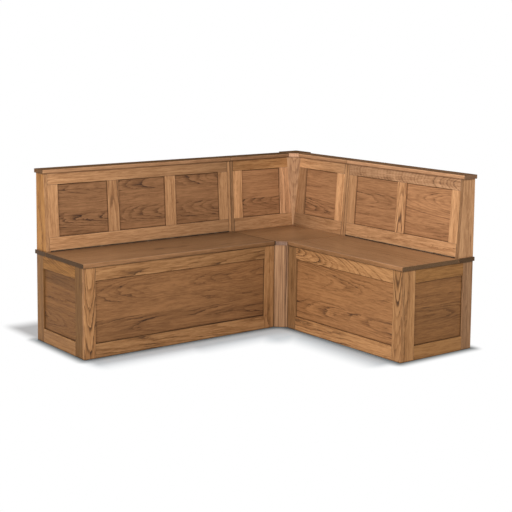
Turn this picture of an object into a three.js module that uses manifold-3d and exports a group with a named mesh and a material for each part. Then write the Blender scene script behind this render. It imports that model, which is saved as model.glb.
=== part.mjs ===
// Corner storage bench in oiled oak: a long and a short panelled chest, each with a hinged lid and
// a leaning backrest, on either side of a square corner unit whose seat is fixed.
// Millimetres, +Z up. The long arm lies along X with its back to +Y, and the short arm runs
// towards -Y at the +X end. The origin is under the middle of the whole bench, on the floor.

import * as THREE from 'three';
import { mergeVertices } from 'three/addons/utils/BufferGeometryUtils.js';
import Module from 'manifold-3d';

const wasm = await Module();
wasm.setup();

// Layout, measured from the outer back corner of the whole bench
const longArm = 1650;
const shortArm = 1370;
const seatDepth = 476;
const seatHeight = 457;
const backrestHeight = 383;

// Board thicknesses
const frameThickness = 20;
const panelThickness = 6;
const seatThickness = 20;
const capThickness = 20;
const sideThickness = 18;
const wedgeThickness = 19;
const carcassBackThickness = 12;
const floorThickness = 12;

// How far seat boards and caps stand out over what carries them
const frontOverhang = 7;
const endOverhang = 8;
const rearOverhang = 4;
const capFrontOverhang = 8;
const capEndOverhang = 8;
const capRearOverhang = 5;
const edgeRadius = 5;
const capEdgeRadius = 4;

// Widths of the frame members that show round each chest panel
const frontStile = 60;
const endStile = 66;
const chestTopRail = 65;
const chestBottomRail = 69;

// Backrest: a leaning frame between two wedge shaped end boards
const wedgeFoot = 102;
const wedgeTop = 76;
const backrestStileWidth = 56;
const muntinWidth = 62;
const backTopRail = 55;
const backBottomRail = 68;

// Joinery: panels and stub tenons share one groove
const grooveDepth = 8;
const grooveLip = 7;
const fitGap = 0.3;
const floorLevel = 40;
const floorTongue = 5;

// Seams between two bolted modules, and between a lid and the corner seat
const moduleGap = 0.4;
const lidSideGap = 3;

// Continuous hinge along the foot of each bench's backrest
const stripLedge = 3;
const leafThickness = 1.2;
const leafWidth = 16;
const leafGap = 0.6;
const knuckleRadius = 2.8;
const pinRadius = 1.2;
const pinClearance = 0.25;
const knucklePitch = 40;
const knuckleGap = 0.4;
const hingeInset = 22;

// Corner unit: chamfered front post that stands back from the seams by its reveal, diagonal filler
// behind the two backrests, raised cap block, and the housing in the seat that the backs stand in
const postSize = 60;
const postChamfer = 48;
const postReveal = 6;
const fillerProud = 1.5;
const fillerWidth = 140;
const fillerThickness = 22;
const cornerStile = 60;
const cornerPanelStop = 186;
const blockArm = 124;
const blockRise = 5;
const housingDepth = 4;

// Counts, and one overrun for every cut
const longPanels = 3;
const shortPanels = 2;
const barrelSides = 12;
const arcSegments = 4;
const overrun = 10;

// Derived levels and places
const carcassHeight = seatHeight - seatThickness;
const capUnderside = seatHeight + backrestHeight;
const cornerSide = seatDepth + postChamfer + postReveal;
const grooveFront = grooveLip;
const grooveBack = grooveLip + panelThickness + fitGap + fitGap;
const halfModuleGap = moduleGap / 2;
const longModule = longArm - cornerSide - halfModuleGap;
const shortModule = shortArm - cornerSide - halfModuleGap;
const seatFront = seatDepth + frontOverhang;
const capFront = wedgeTop + capFrontOverhang;
const stripFront = wedgeFoot + stripLedge;
const hingeY = -(stripFront + leafThickness + leafGap / 2);
const hingeZ = seatHeight + knuckleRadius;
const leanAngle = Math.atan2(wedgeFoot - wedgeTop, backrestHeight);
const slopeHeight = (backrestHeight - fitGap - fitGap) / Math.cos(leanAngle);
const housedFoot = wedgeFoot + housingDepth * Math.tan(leanAngle);
const quarterTurn = Math.PI / 2;

function timber(color, roughness) {
  return new THREE.MeshStandardMaterial({ color, roughness, metalness: 0 });
}

const frameOak = () => timber(0xaf7d52, 0.55);
const panelOak = () => timber(0x8a5d3b, 0.55);
const seatOak = () => timber(0x916746, 0.5);
const capOak = () => timber(0x9a6c48, 0.5);
const postOak = () => timber(0xb08262, 0.55);
const innerPly = () => timber(0xb99468, 0.7);
const hingeSteel = () => new THREE.MeshStandardMaterial({ color: 0x4a4036, roughness: 0.4, metalness: 0.9 });

function addMesh(group, name, geometry, material) {
  const mesh = new THREE.Mesh(geometry, material);
  mesh.name = name;
  group.add(mesh);
  return mesh;
}

function toSolid(geometry) {
  const bare = geometry.clone();
  bare.deleteAttribute('normal');
  bare.deleteAttribute('uv');
  const merged = mergeVertices(bare);
  return new wasm.Manifold(new wasm.Mesh({
    numProp: 3,
    vertProperties: new Float32Array(merged.attributes.position.array),
    triVerts: new Uint32Array(merged.index.array),
  }));
}

function toGeometry(solid) {
  const mesh = solid.getMesh();
  const geometry = new THREE.BufferGeometry();
  geometry.setAttribute('position', new THREE.BufferAttribute(mesh.vertProperties, 3));
  geometry.setIndex(new THREE.BufferAttribute(mesh.triVerts, 1));
  geometry.computeVertexNormals();
  return geometry;
}

function joined(geometries) {
  return toGeometry(geometries.map(toSolid).reduce((whole, piece) => whole.add(piece)));
}

function cut(geometry, cutters) {
  const solid = toSolid(geometry);
  return toGeometry(cutters.map(toSolid).reduce((whole, cutter) => whole.subtract(cutter), solid));
}

// A block between three [low, high] pairs
function block(x, y, z) {
  const geometry = new THREE.BoxGeometry(x[1] - x[0], y[1] - y[0], z[1] - z[0]);
  geometry.translate((x[0] + x[1]) / 2, (y[0] + y[1]) / 2, (z[0] + z[1]) / 2);
  return geometry;
}

// A plain board is a box mesh that stands at its own middle
function addBoard(group, name, x, y, z, material) {
  const board = addMesh(group, name, new THREE.BoxGeometry(x[1] - x[0], y[1] - y[0], z[1] - z[0]), material);
  board.position.set((x[0] + x[1]) / 2, (y[0] + y[1]) / 2, (z[0] + z[1]) / 2);
  return board;
}

// A shape drawn in x and y and carried upwards over a [low, high] span of z
function carriedUp(shape, z) {
  const geometry = new THREE.ExtrudeGeometry(shape, {
    depth: z[1] - z[0], bevelEnabled: false, curveSegments: arcSegments,
  });
  geometry.translate(0, 0, z[0]);
  return geometry;
}

// A profile drawn in y and z and carried along a [low, high] span of x
function carriedAlong(shape, x) {
  const geometry = carriedUp(shape, x);
  geometry.applyMatrix4(new THREE.Matrix4().makeBasis(
    new THREE.Vector3(0, 1, 0), new THREE.Vector3(0, 0, 1), new THREE.Vector3(1, 0, 0)));
  return geometry;
}

function outline(points) {
  return new THREE.Shape(points.map(([a, b]) => new THREE.Vector2(a, b)));
}

// Seat and cap boards: square at the rear, with both front edges rounded over
function nosedProfile(rear, front, bottom, top, radius) {
  const shape = new THREE.Shape();
  shape.moveTo(rear, bottom);
  shape.lineTo(rear, top);
  shape.lineTo(front + radius, top);
  shape.absarc(front + radius, top - radius, radius, quarterTurn, Math.PI, false);
  shape.lineTo(front, bottom + radius);
  shape.absarc(front + radius, bottom + radius, radius, Math.PI, Math.PI + quarterTurn, false);
  shape.lineTo(rear, bottom);
  return shape;
}

// A module is built facing -Y with its back on y = 0. Lengths along it are counted from the end
// that lies away from the corner, which is the left end when side is -1 and the right end when +1.
function spanFrom(side, length) {
  return (start, end) => (side < 0 ? [start, end] : [length - end, length - start]);
}

// A chest wall: a frame of two stiles and two rails, grooved all round its opening for a thin
// panel. Its outer face lies on y = 0 and looks towards -Y. The groove for the chest floor is
// cut into its inner face over the [low, high] span floorRun.
function panelledWall({ name, width, stile, floorRun }) {
  const wall = new THREE.Group();
  const whole = [0, carcassHeight];
  const thickness = [0, frameThickness];
  const windowX = [stile, width - stile];
  const windowZ = [chestBottomRail, carcassHeight - chestTopRail];
  const grooveX = [windowX[0] - grooveDepth, windowX[1] + grooveDepth];
  const grooveZ = [windowZ[0] - grooveDepth, windowZ[1] + grooveDepth];
  const frame = cut(block([0, width], thickness, whole), [
    block(windowX, [-overrun, frameThickness + overrun], windowZ),
    block(grooveX, [grooveFront, grooveBack], grooveZ),
    block(floorRun, [frameThickness - floorTongue - fitGap, frameThickness + overrun],
      [floorLevel - fitGap, floorLevel + floorThickness + fitGap]),
  ]);
  addMesh(wall, `${name}_frame`, frame, frameOak());
  addBoard(wall, `${name}_panel`,
    [grooveX[0] + fitGap, grooveX[1] - fitGap],
    [grooveFront + fitGap, grooveBack - fitGap],
    [grooveZ[0] + fitGap, grooveZ[1] - fitGap], panelOak());
  return wall;
}

// Hidden chest walls are plain boards with a groove for the floor in the face that looks inwards
function groovedBoard(x, y, z, grooveX, grooveY) {
  const grooveZ = [floorLevel - fitGap, floorLevel + floorThickness + fitGap];
  return cut(block(x, y, z), [block(grooveX, grooveY, grooveZ)]);
}

function addChest(bench, { name, side, length }) {
  const span = spanFrom(side, length);
  const wallFront = -(seatDepth - frameThickness);
  const tongueReach = floorTongue + fitGap;
  const floorSpan = [frameThickness - floorTongue, length - sideThickness + floorTongue];
  const floorGroove = [floorSpan[0] - fitGap, floorSpan[1] + fitGap];

  const front = panelledWall({
    name: `${name}_front`, width: length, stile: frontStile, floorRun: span(...floorGroove),
  });
  front.position.y = -seatDepth;
  bench.add(front);

  const endWidth = seatDepth - frameThickness;
  const rearStop = carcassBackThickness - tongueReach;
  const endRun = side < 0 ? [rearStop, endWidth + overrun] : [-overrun, endWidth - rearStop];
  const end = panelledWall({ name: `${name}_end`, width: endWidth, stile: endStile, floorRun: endRun });
  end.position.set(side < 0 ? 0 : length, side < 0 ? 0 : wallFront, 0);
  end.rotation.z = side * quarterTurn;
  bench.add(end);

  const innerX = span(length - sideThickness, length);
  const innerGroove = span(length - sideThickness - overrun, length - sideThickness + tongueReach);
  addMesh(bench, `${name}_inner_side`,
    groovedBoard(innerX, [wallFront, 0], [0, carcassHeight], innerGroove, [wallFront - overrun, -rearStop]),
    innerPly());

  const backX = span(frameThickness, length - sideThickness);
  addMesh(bench, `${name}_carcass_back`,
    groovedBoard(backX, [-carcassBackThickness, 0], [0, carcassHeight],
      [backX[0] - overrun, backX[1] + overrun], [-carcassBackThickness - overrun, -rearStop]),
    innerPly());

  addBoard(bench, `${name}_floor`, span(...floorSpan),
    [wallFront - floorTongue, floorTongue - carcassBackThickness],
    [floorLevel, floorLevel + floorThickness], innerPly());
}

// The strip under the backrest is fixed; the lid in front of it lifts
function addSeatBoards(bench, { name, side, length }) {
  const span = spanFrom(side, length);
  addBoard(bench, `${name}_deck_strip`, span(-endOverhang, length),
    [-stripFront, rearOverhang], [carcassHeight, seatHeight], seatOak());
  const lidRear = hingeY - leafGap / 2 - leafThickness;
  const lidX = span(-endOverhang, length + halfModuleGap - lidSideGap / 2);
  const profile = nosedProfile(lidRear, -seatFront, carcassHeight + fitGap, seatHeight, edgeRadius);
  addMesh(bench, `${name}_lid`, carriedAlong(profile, lidX), seatOak());
}

function rodAlongX(radius, x) {
  const geometry = new THREE.CylinderGeometry(radius, radius, x[1] - x[0], barrelSides);
  geometry.rotateZ(quarterTurn);
  geometry.translate((x[0] + x[1]) / 2, hingeY, hingeZ);
  return geometry;
}

// One leaf of the continuous hinge: a long plate, and on it every second knuckle of the barrel.
// The first and the last knuckle belong to the fixed leaf.
function hingeLeaf(run, plateY, parity) {
  const pairs = Math.round((run[1] - run[0]) / knucklePitch / 2);
  const count = 2 * pairs + 1;
  const pitch = (run[1] - run[0]) / count;
  const plateTop = hingeZ - knuckleRadius - fitGap;
  const tabTop = hingeZ - (knuckleRadius + pinRadius + pinClearance) / 2;
  const parts = [block(run, plateY, [plateTop - leafWidth, plateTop])];
  for (let index = parity; index < count; index += 2) {
    const x = [
      run[0] + index * pitch + knuckleGap / 2,
      run[0] + (index + 1) * pitch - knuckleGap / 2,
    ];
    parts.push(rodAlongX(knuckleRadius, x));
    parts.push(block(x, plateY, [plateTop - fitGap, tabTop]));
  }
  return parts;
}

function addHinge(bench, { name, side, length }) {
  const run = spanFrom(side, length)(hingeInset, length - hingeInset);
  const fixedY = [hingeY + leafGap / 2, hingeY + leafGap / 2 + leafThickness];
  const movingY = [hingeY - leafGap / 2 - leafThickness, hingeY - leafGap / 2];
  const pin = rodAlongX(pinRadius, [run[0] + knuckleGap, run[1] - knuckleGap]);
  addMesh(bench, `${name}_hinge_fixed_leaf`, joined([...hingeLeaf(run, fixedY, 0), pin]), hingeSteel());
  const boreRadius = (pinRadius + pinClearance) / Math.cos(Math.PI / barrelSides);
  const bore = rodAlongX(boreRadius, [run[0] - overrun, run[1] + overrun]);
  addMesh(bench, `${name}_hinge_moving_leaf`, cut(joined(hingeLeaf(run, movingY, 1)), [bore]), hingeSteel());
}

// An end board of a backrest: upright at the rear, sloping back at the front. foot is how far its
// front reaches out at the level where it stands.
function addWedge(group, name, x, foot, level) {
  const profile = outline([
    [0, level], [0, capUnderside], [-wedgeTop, capUnderside], [-foot, level],
  ]);
  addMesh(group, name, carriedAlong(profile, x), frameOak());
}

// A group whose y = 0 plane is the sloping front face between the wedges, with z up the slope
function leaningGroup() {
  const group = new THREE.Group();
  group.position.set(0, -wedgeFoot, seatHeight + fitGap);
  group.rotation.x = -leanAngle;
  group.updateMatrix();
  return group;
}

// Where a level plane through the front edge leaves the rear face of a leaning board
const slopeRise = frameThickness * Math.tan(leanAngle);
const openingLow = backBottomRail;
const openingHigh = slopeHeight - backTopRail;

function addBackRails(group, name, x) {
  const low = outline([
    [0, 0], [frameThickness, slopeRise], [frameThickness, openingLow], [grooveBack, openingLow],
    [grooveBack, openingLow - grooveDepth], [grooveFront, openingLow - grooveDepth],
    [grooveFront, openingLow], [0, openingLow],
  ]);
  const high = outline([
    [0, openingHigh], [grooveFront, openingHigh], [grooveFront, openingHigh + grooveDepth],
    [grooveBack, openingHigh + grooveDepth], [grooveBack, openingHigh], [frameThickness, openingHigh],
    [frameThickness, slopeHeight + slopeRise], [0, slopeHeight],
  ]);
  addMesh(group, `${name}_back_bottom_rail`, carriedAlong(low, x), frameOak());
  addMesh(group, `${name}_back_top_rail`, carriedAlong(high, x), frameOak());
}

// An upright of the leaning frame, grooved on the sides that face a panel, with a stub tenon
// at each end that enters the grooves of the rails
function uprightGeometry(x, groovedLeft, groovedRight) {
  const left = groovedLeft ? grooveDepth : 0;
  const right = groovedRight ? grooveDepth : 0;
  const body = outline([
    [x[0], 0], [x[1], 0], [x[1], grooveFront], [x[1] - right, grooveFront], [x[1] - right, grooveBack],
    [x[1], grooveBack], [x[1], frameThickness], [x[0], frameThickness], [x[0], grooveBack],
    [x[0] + left, grooveBack], [x[0] + left, grooveFront], [x[0], grooveFront],
  ].filter((point, index, points) => {
    const next = points[(index + 1) % points.length];
    return point[0] !== next[0] || point[1] !== next[1];
  }));
  const tenonReach = grooveDepth - fitGap;
  const tenon = block([x[0] + left, x[1] - right], [grooveFront + fitGap, grooveBack - fitGap],
    [openingLow - tenonReach, openingHigh + tenonReach]);
  return joined([carriedUp(body, [openingLow + fitGap, openingHigh - fitGap]), tenon]);
}

function addBackPanel(group, name, x) {
  const reach = grooveDepth - fitGap;
  addBoard(group, name, [x[0] - reach, x[1] + reach], [grooveFront + fitGap, grooveBack - fitGap],
    [openingLow - reach, openingHigh + reach], panelOak());
}

// Rails, stiles, muntins and panels between two wedges, then the cap over them
function addBackrest(bench, { name, side, length, panels }) {
  const span = spanFrom(side, length);
  addWedge(bench, `${name}_wedge_outer`, span(0, wedgeThickness), wedgeFoot, seatHeight);
  addWedge(bench, `${name}_wedge_inner`, span(length - wedgeThickness, length), wedgeFoot, seatHeight);

  const frame = leaningGroup();
  const run = [wedgeThickness + fitGap, length - wedgeThickness - fitGap];
  addBackRails(frame, name, run);
  addMesh(frame, `${name}_back_stile_left`,
    uprightGeometry([run[0], run[0] + backrestStileWidth], false, true), frameOak());
  addMesh(frame, `${name}_back_stile_right`,
    uprightGeometry([run[1] - backrestStileWidth, run[1]], true, false), frameOak());
  const clear = run[1] - run[0] - backrestStileWidth - backrestStileWidth - (panels - 1) * muntinWidth;
  const panelWidth = clear / panels;
  for (let index = 0; index < panels; index += 1) {
    const start = run[0] + backrestStileWidth + index * (panelWidth + muntinWidth);
    const stop = start + panelWidth;
    addBackPanel(frame, `${name}_back_panel_${index + 1}`, [start, stop]);
    if (index < panels - 1) {
      addMesh(frame, `${name}_back_muntin_${index + 1}`,
        uprightGeometry([stop, stop + muntinWidth], true, true), frameOak());
    }
  }
  bench.add(frame);

  addCap(bench, `${name}_cap`, span(-capEndOverhang, length));
}

function addCap(group, name, x) {
  const profile = nosedProfile(
    capRearOverhang, -capFront, capUnderside, capUnderside + capThickness, capEdgeRadius);
  addMesh(group, name, carriedAlong(profile, x), capOak());
}

function makeBench(options) {
  const bench = new THREE.Group();
  addChest(bench, options);
  addSeatBoards(bench, options);
  addHinge(bench, options);
  addBackrest(bench, options);
  return bench;
}

// Distance of the filler's face from each wall, where it crosses the diagonal of the corner
const fillerReach = wedgeFoot + fillerProud;

// Everything that lies behind the filler's face, seen from one side of the corner unit.
// cornerX is where the two walls meet, along that side.
function behindFiller(side, cornerX) {
  const size = cornerSide;
  const low = seatHeight - overrun;
  const height = backrestHeight + overrun + overrun;
  const geometry = new THREE.BoxGeometry(size, size, height);
  const clearance = fitGap / Math.SQRT2;
  geometry.translate(0, size / 2 - clearance, low + height / 2);
  geometry.rotateZ(side * quarterTurn / 2);
  geometry.translate(cornerX + side * fillerReach, -fillerReach, 0);
  return geometry;
}

// The backrest on one side of the corner: a wedge at the seam, and a glued frame with one panel
// whose inner stile is bevelled against the diagonal filler
function addCornerBack(half, { name, side }) {
  const span = spanFrom(side, cornerSide);
  const wedgeSpan = span(halfModuleGap, halfModuleGap + wedgeThickness);
  addWedge(half, `${name}_wedge`, wedgeSpan, housedFoot, seatHeight - housingDepth);
  const frameStart = halfModuleGap + wedgeThickness + fitGap;
  const windowX = span(frameStart + cornerStile, cornerSide - cornerPanelStop);
  const reach = grooveDepth - fitGap;
  const leaning = leaningGroup();
  const foot = -housingDepth / Math.cos(leanAngle);
  const blankProfile = outline([
    [0, foot], [frameThickness, foot + slopeRise],
    [frameThickness, slopeHeight + slopeRise], [0, slopeHeight],
  ]);
  const blank = carriedAlong(blankProfile, span(frameStart, cornerSide - wedgeTop));
  const filler = behindFiller(side, side < 0 ? cornerSide : 0);
  filler.applyMatrix4(leaning.matrix.clone().invert());
  const frame = cut(blank, [
    filler,
    block(windowX, [-overrun, frameThickness + overrun], [openingLow, openingHigh]),
    block([windowX[0] - grooveDepth, windowX[1] + grooveDepth], [grooveFront, grooveBack],
      [openingLow - grooveDepth, openingHigh + grooveDepth]),
  ]);
  addMesh(leaning, `${name}_back_frame`, frame, frameOak());
  addBoard(leaning, `${name}_back_panel`, [windowX[0] - reach, windowX[1] + reach],
    [grooveFront + fitGap, grooveBack - fitGap], [openingLow - reach, openingHigh + reach], panelOak());
  half.add(leaning);
  addCap(half, `${name}_cap`, span(halfModuleGap, cornerSide - blockArm - fitGap));
}

// The hidden boards under one side of the corner seat
function addCornerBoards(half, { name, side, backEnd }) {
  const span = spanFrom(side, cornerSide);
  const boardFront = -(seatDepth + postChamfer - postSize);
  const sideEnd = halfModuleGap + sideThickness;
  addBoard(half, `${name}_side`, span(halfModuleGap, sideEnd),
    [boardFront, 0], [0, carcassHeight], innerPly());
  addBoard(half, `${name}_carcass_back`, span(sideEnd, cornerSide - backEnd),
    [-carcassBackThickness, 0], [0, carcassHeight], innerPly());
}

// Plans of the corner pieces that lie across the diagonal, with the walls on x = 0 and y = 0
function cornerSeatShape() {
  const edge = -(cornerSide - lidSideGap / 2);
  const clipEnd = -(cornerSide + seatFront) - edge;
  return outline([
    [rearOverhang, rearOverhang], [edge, rearOverhang], [edge, clipEnd], [clipEnd, edge],
    [rearOverhang, edge],
  ]);
}

// The part of the corner seat that the two backs, their wedges and the filler stand on
function housingShape() {
  const edge = -(cornerSide + overrun);
  const front = -(housedFoot + fitGap);
  const cross = -(fillerReach + fillerReach + fitGap * Math.SQRT2) - front;
  return outline([
    [overrun, overrun], [edge, overrun], [edge, front], [cross, front], [front, cross], [front, edge],
    [overrun, edge],
  ]);
}

function postShape() {
  const outer = -(seatDepth + postChamfer);
  const inner = outer + postSize;
  return outline([[inner, inner], [outer, inner], [outer, -seatDepth], [-seatDepth, outer], [inner, outer]]);
}

function capBlockShape() {
  return outline([
    [capRearOverhang, capRearOverhang], [-blockArm, capRearOverhang], [-blockArm, -capFront],
    [-capFront, -blockArm], [capRearOverhang, -blockArm],
  ]);
}

function makeCornerUnit() {
  const unit = new THREE.Group();
  addMesh(unit, 'corner_front_post', carriedUp(postShape(), [0, carcassHeight]), postOak());
  const housing = carriedUp(housingShape(), [seatHeight - housingDepth, seatHeight + overrun]);
  const seat = cut(carriedUp(cornerSeatShape(), [carcassHeight, seatHeight]), [housing]);
  addMesh(unit, 'corner_seat', seat, seatOak());
  addMesh(unit, 'corner_cap_block',
    carriedUp(capBlockShape(), [capUnderside, capUnderside + capThickness + blockRise]), capOak());

  const fillerHeight = backrestHeight + housingDepth;
  const filler = addMesh(unit, 'corner_back_filler',
    new THREE.BoxGeometry(fillerWidth, fillerThickness, fillerHeight), postOak());
  const fillerMiddle = fillerReach - fillerThickness / 2 * Math.SQRT1_2;
  filler.position.set(-fillerMiddle, -fillerMiddle, capUnderside - fillerHeight / 2);
  filler.rotation.z = -quarterTurn / 2;

  const longHalf = new THREE.Group();
  longHalf.position.x = -cornerSide;
  const longOptions = { name: 'corner_long', side: -1, backEnd: 0 };
  addCornerBoards(longHalf, longOptions);
  addCornerBack(longHalf, longOptions);

  const shortHalf = new THREE.Group();
  shortHalf.rotation.z = -quarterTurn;
  const shortOptions = { name: 'corner_short', side: 1, backEnd: carcassBackThickness };
  addCornerBoards(shortHalf, shortOptions);
  addCornerBack(shortHalf, shortOptions);

  unit.add(longHalf, shortHalf);
  return unit;
}

const bench = new THREE.Group();

const longBench = makeBench({ name: 'long', side: -1, length: longModule, panels: longPanels });
longBench.position.x = -longArm;

const shortBench = makeBench({ name: 'short', side: 1, length: shortModule, panels: shortPanels });
shortBench.position.y = -(cornerSide + halfModuleGap);
shortBench.rotation.z = -quarterTurn;

bench.add(longBench, shortBench, makeCornerUnit());
const reachX = longArm + Math.max(endOverhang, capEndOverhang);
const reachY = shortArm + Math.max(endOverhang, capEndOverhang);
const rearReach = Math.max(rearOverhang, capRearOverhang);
bench.position.set((reachX - rearReach) / 2, (reachY - rearReach) / 2, 0);

export default bench;
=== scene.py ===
import math

import bpy
import numpy as np
from mathutils import Matrix, Vector


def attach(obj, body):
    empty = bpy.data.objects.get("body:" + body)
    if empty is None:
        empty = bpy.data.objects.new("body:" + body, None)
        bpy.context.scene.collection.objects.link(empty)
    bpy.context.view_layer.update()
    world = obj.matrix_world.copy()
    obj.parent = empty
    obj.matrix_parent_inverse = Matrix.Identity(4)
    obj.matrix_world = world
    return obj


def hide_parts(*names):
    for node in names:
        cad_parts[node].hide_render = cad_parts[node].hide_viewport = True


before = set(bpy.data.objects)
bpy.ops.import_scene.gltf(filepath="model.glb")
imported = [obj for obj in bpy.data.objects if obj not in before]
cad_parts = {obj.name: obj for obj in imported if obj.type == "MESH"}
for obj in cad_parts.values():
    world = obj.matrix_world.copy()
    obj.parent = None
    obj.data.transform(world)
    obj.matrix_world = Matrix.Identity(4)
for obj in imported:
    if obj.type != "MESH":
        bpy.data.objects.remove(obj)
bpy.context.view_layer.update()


# Standpoint. The camera stands in front of the long arm's free end, at the height of a standing
# adult's eyes, and looks a little down into the inner corner of the bench.
standpoint = Vector((-3.4631, -4.5640, 1.5086))
heading = math.radians(37.293)
down_tilt = math.radians(6.389)
lean_of_horizon = math.radians(0.529)

ahead = Vector((
    math.sin(heading) * math.cos(down_tilt),
    math.cos(heading) * math.cos(down_tilt),
    -math.sin(down_tilt),
))
level_right = Vector((math.cos(heading), -math.sin(heading), 0.0))
level_up = level_right.cross(ahead)
picture_right = level_right * math.cos(lean_of_horizon) + level_up * math.sin(lean_of_horizon)
picture_up = level_up * math.cos(lean_of_horizon) - level_right * math.sin(lean_of_horizon)

lens = bpy.data.cameras.new("standpoint")
lens.lens = 83.2
lens.sensor_width = 36.0
lens.shift_y = -0.168
lens.clip_end = 60.0
camera = bpy.data.objects.new("standpoint", lens)
turn = Matrix((picture_right, picture_up, -ahead)).transposed()
camera.matrix_world = Matrix.Translation(standpoint) @ turn.to_4x4()
bpy.context.scene.collection.objects.link(camera)
bpy.context.scene.camera = camera
bpy.context.scene.view_settings.view_transform = "Standard"


# Floor and light. The bench stands on a plain pale floor that runs out to a white distance. Two
# large soft panels light it from the front and one from above the wall, and the pale
# surroundings fill the shadows. Near the bench the camera sees the floor with painted shade
# added to its real shadows: a painted contact shadow round the foot, a painted shadow behind the
# long arm and painted shade beside the short chest.
class Signal:
    """A number, vector or colour on its way through a material's nodes.

    Python's arithmetic on it adds Math nodes; every other node comes from the node method."""

    def __init__(self, tree, socket=None):
        self.tree = tree
        self.socket = socket

    def node(self, kind, settings=None, sockets=None, output=0):
        """Add one node: settings first, then a value or a link for each named socket."""
        made = self.tree.nodes.new(kind)
        for name, value in (settings or {}).items():
            setattr(made, name, value)
        for name, value in (sockets or {}).items():
            if isinstance(value, Signal):
                value.into(made.inputs[name])
            else:
                made.inputs[name].default_value = value
        return Signal(self.tree, made.outputs[output])

    def into(self, socket):
        """Link this value to a node's socket."""
        self.tree.links.new(self.socket, socket)

    def maths(self, operation, *others):
        """One Math node on this value and the others."""
        return self.node("ShaderNodeMath", {"operation": operation}, dict(enumerate((self, *others))))

    def vector_maths(self, operation, *others):
        """One Vector Math node on this value and the others."""
        return self.node("ShaderNodeVectorMath", {"operation": operation}, dict(enumerate((self, *others))))

    def __add__(self, other):
        return self.maths("ADD", other)

    __radd__ = __add__

    def __sub__(self, other):
        return self.maths("SUBTRACT", other)

    def __rsub__(self, other):
        return self.node("ShaderNodeMath", {"operation": "SUBTRACT"}, {0: other, 1: self})

    def __mul__(self, other):
        return self.maths("MULTIPLY", other)

    __rmul__ = __mul__

    def __truediv__(self, other):
        return self.maths("DIVIDE", other)

    def __pow__(self, other):
        return self.maths("POWER", other)

    def step(self, low, high):
        """A smooth rise from 0 at low to 1 at high, or a fall where low is the larger."""
        rising = float(low < high)
        return self.node("ShaderNodeMapRange", {"interpolation_type": "SMOOTHSTEP"}, {
            "Value": self, "From Min": min(low, high), "From Max": max(low, high),
            "To Min": 1.0 - rising, "To Max": rising})

    def stretched(self, x, y, z):
        """This vector with each of its parts multiplied by a number."""
        return self.vector_maths("MULTIPLY", (x, y, z))

    def cloud(self, detail, roughness):
        """Soft noise about 0 read at this vector, between roughly -0.5 and 0.5."""
        noise = self.node("ShaderNodeTexNoise", {},
                          {"Vector": self, "Scale": 1.0, "Detail": detail, "Roughness": roughness})
        return noise - 0.5

    def parts(self):
        """The three parts of this vector."""
        split = self.node("ShaderNodeSeparateXYZ", {}, {0: self})
        return [Signal(self.tree, socket) for socket in split.socket.node.outputs]

    def between(self, low, high):
        """The colour this share of the way from one colour to the other."""
        return self.node("ShaderNodeMix", {"data_type": "RGBA"}, {"Factor": self, 6: low, 7: high}, output=2)

    def ramp(self, *stops):
        """The colour that a ramp through (place, colour) stops has at this value."""
        made = self.node("ShaderNodeValToRGB")
        elements = made.socket.node.color_ramp.elements
        while len(elements) < len(stops):
            elements.new(1.0)
        for element, (place, tone) in zip(elements, stops):
            element.position = place
            element.color = (*tone, 1.0)
        self.into(made.socket.node.inputs["Fac"])
        return made

    def scaled(self, share):
        """This colour or vector with all its parts multiplied by one value."""
        return self.node("ShaderNodeVectorMath", {"operation": "SCALE"}, {0: self, "Scale": share})

    def object_place(self):
        """The place of the surface in its own object, in metres."""
        return self.node("ShaderNodeTexCoord", output="Object")


def new_material(name):
    """An empty material, its principled shader and a Signal to start from."""
    material = bpy.data.materials.new(name)
    material.use_nodes = True
    shader = material.node_tree.nodes["Principled BSDF"]
    return material, shader, Signal(material.node_tree)


floor_side = 60.0
floor_paint = (0.80, 0.80, 0.80, 1.0)
matt = {"Roughness": 0.9, "Specular IOR Level": 0.0}
white = (1.0, 1.0, 1.0, 1.0)

# What the camera sees of the floor: its painted shades as colours, and the spans of distance or
# openness over which each of them changes into the next.
seen_paint = (0.695, 0.752, 0.795, 1.0)
inner_paint = (0.74, 0.84, 0.905, 1.0)
inner_corner = (0.33, 0.18)
inner_span = (0.10, 0.75)
painted_contact_shadow = (0.14, 0.18, 0.20, 1.0)
contact_reach = 0.07
contact_span = (0.45, 1.0)
short_side_shade = 0.33
short_side_span_x = (0.40, 0.33)
short_side_span_y = (0.08, -0.10)
painted_rear_shadow = (0.385, 0.385, 0.39, 1.0)
rear_span = (0.69, 0.71)
painted_edge_shadow = (0.12, 0.13, 0.13, 1.0)
edge_span = (-0.011, 0.069)
shade_span = (-0.19, 1.0)

# Boxes in plan: their spans along X and Y, and the lengths that count as one unit outside them.
shaded_plan = (
    ((-0.797, 0.70), (0.135, 0.94), (0.080, 0.16)),
    ((0.285, 0.70), (-0.63, 0.94), (0.16, 0.08)),
    ((0.165, 0.70), (0.015, 0.94), (0.16, 0.16)),
    ((-0.25, 0.70), (0.105, 0.94), (0.16, 0.16)),
)
standing_plan = (
    ((-0.8235, 0.8265), (0.2035, 0.6865), (1.0, 1.0)),
    ((0.3435, 0.8265), (-0.6835, 0.6865), (1.0, 1.0)),
)

floor_mesh = bpy.data.meshes.new("studio_floor")
floor_mesh.from_pydata(
    [(x * floor_side / 2, y * floor_side / 2, 0.0) for x, y in ((-1, -1), (1, -1), (1, 1), (-1, 1))],
    [], [(0, 1, 2, 3)])
floor = bpy.data.objects.new("studio_floor", floor_mesh)
bpy.context.scene.collection.objects.link(floor)

floor_material, floor_shader, start = new_material("studio_floor")
for title, value in {"Base Color": floor_paint, **matt}.items():
    floor_shader.inputs[title].default_value = value
floor_x, floor_y, _ = start.object_place().parts()


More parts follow.
